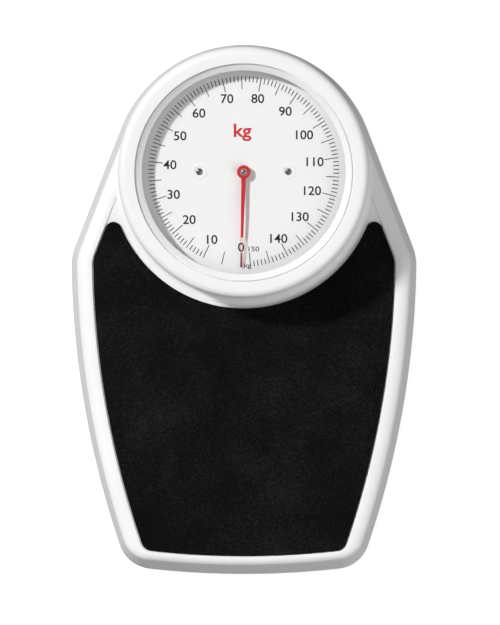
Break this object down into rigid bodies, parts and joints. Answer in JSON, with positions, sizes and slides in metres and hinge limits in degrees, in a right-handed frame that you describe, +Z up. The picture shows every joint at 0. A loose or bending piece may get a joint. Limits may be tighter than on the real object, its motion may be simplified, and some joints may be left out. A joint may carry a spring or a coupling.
{
  "type": "mechanical dial platform scale",
  "caption": "Flat personal weighing platform with a black rubber mat and a large round tilted dial at the rear, driven by two levers, a main spring, a bell crank, a rack and a pinion",
  "frame": {"origin": "on the floor, at the middle of the body's footprint", "axes": "+X to the user's right, +Y from the user's heels towards the dial, +Z up"},
  "size_m": [0.3128, 0.48, 0.1388],
  "materials": {
    "white_plastic": "moulded white ABS, glossy",
    "white_paint": "smooth semi-gloss white enamel",
    "clear_window": "clear flat window",
    "gasket_rubber": "matt",
    "mat_rubber": "black, pebble-grained, non-slip",
    "foot_rubber": "matt black",
    "zinc_plate": "bright zinc plated sheet",
    "lever_steel": "zinc plated flat bar",
    "hard_steel": "ground hardened steel",
    "screw_steel": "plated",
    "spring_wire": "drawn spring wire",
    "brass": "turned and stamped brass",
    "dial_white": "matt white, printed in black",
    "pointer_red": "satin red",
    "wheel_plastic": "black, knurled rim"
  },
  "bodies": {
    "base": {"base_pan": "zinc_plate", "rubber_feet": "foot_rubber", "foot_studs": "zinc_plate", "fulcrum_brackets": "zinc_plate", "fulcrum_screws": "screw_steel", "spring_tower": "zinc_plate", "tower_screws": "screw_steel", "spindle_bush": "brass", "dial_bridge": "zinc_plate", "bridge_screws": "screw_steel", "dial_pillars": "zinc_plate", "dial_plate": "dial_white", "dial_screws": "screw_steel", "shaft_bush": "brass", "rack_guides": "brass", "crank_bracket": "zinc_plate", "crank_axle": "hard_steel", "return_spring_post": "hard_steel"},
    "platform": {"platform_cover": "white_paint", "dial_housing": "white_paint", "bezel_ring": "white_plastic", "dial_window": "clear_window", "window_gasket": "gasket_rubber", "rubber_mat": "mat_rubber", "platform_crossbars": "zinc_plate", "load_hangers": "lever_steel", "retaining_posts": "zinc_plate", "retaining_screws": "screw_steel", "housing_screws": "screw_steel"},
    "front_lever": {"long_lever": "lever_steel", "long_lever_knives": "hard_steel", "beam_hook": "zinc_plate", "lifter_post": "zinc_plate", "main_spring": "spring_wire"},
    "rear_lever": {"short_lever": "lever_steel", "short_lever_knives": "hard_steel", "nose_knife": "hard_steel"},
    "crank": {"bell_crank": "brass", "crank_pins": "hard_steel"},
    "rack_bar": {"rack": "brass", "return_spring": "spring_wire"},
    "indicator": {"pointer": "pointer_red", "pointer_hub": "pointer_red", "pointer_shaft": "hard_steel", "pinion": "brass"},
    "zero_control": {"zero_wheel": "wheel_plastic", "zero_spindle": "hard_steel", "spindle_clip": "hard_steel"},
    "zero_slider": {"zero_yoke": "zinc_plate", "yoke_nut": "brass", "yoke_hook": "zinc_plate"}
  },
  "joints": [
    {"name": "platform_slide", "type": "slide", "parent": "base", "child": "platform", "axis": [0, 0, -1], "range_m": [0, 0.0015], "stiffness_N_per_m": 40000, "springref_m": -0.0015},
    {"name": "front_lever_tilt", "type": "hinge", "parent": "base", "child": "front_lever", "pos_m": [0, -0.196, 0.03], "axis": [-1, 0, 0], "range_deg": [0, 2.41], "deforming": ["main_spring"]},
    {"name": "rear_lever_tilt", "type": "hinge", "parent": "base", "child": "rear_lever", "pos_m": [0, 0.17, 0.03], "axis": [1, 0, 0], "range_deg": [0, 2.41]},
    {"name": "crank_turn", "type": "hinge", "parent": "base", "child": "crank", "pos_m": [-0.04846, 0.131, 0.039], "axis": [0, 1, 0], "range_deg": [0, 16.49]},
    {"name": "rack_slide", "type": "slide", "parent": "base", "child": "rack_bar", "axis": [1, 0, 0], "range_m": [0, 0.01874], "deforming": ["return_spring"]},
    {"name": "pointer_turn", "type": "hinge", "parent": "base", "child": "indicator", "pos_m": [0, 0.12, 0.122], "axis": [0, 0.1045, -0.9945], "range_deg": [0, 355.46]},
    {"name": "zero_wheel_turn", "type": "hinge", "parent": "base", "child": "zero_control", "pos_m": [0, 0.213, 0.005], "axis": [0, 0, 1], "range_deg": [-361, 361]},
    {"name": "zero_yoke_slide", "type": "slide", "parent": "base", "child": "zero_slider", "axis": [0, 0, 1], "range_m": [-0.0007, 0.0007]}
  ],
  "couplings": [
    {"joint": "front_lever_tilt", "follows": "platform_slide", "rad_per_m": 27.786},
    {"joint": "rear_lever_tilt", "follows": "platform_slide", "rad_per_m": 27.786},
    {"joint": "crank_turn", "follows": "platform_slide", "rad_per_m": 190},
    {"joint": "rack_slide", "follows": "platform_slide", "ratio": 12.371},
    {"joint": "pointer_turn", "follows": "platform_slide", "rad_per_m": 4123.6},
    {"joint": "zero_wheel_turn", "follows": "zero_yoke_slide", "rad_per_m": 8976}
  ]
}
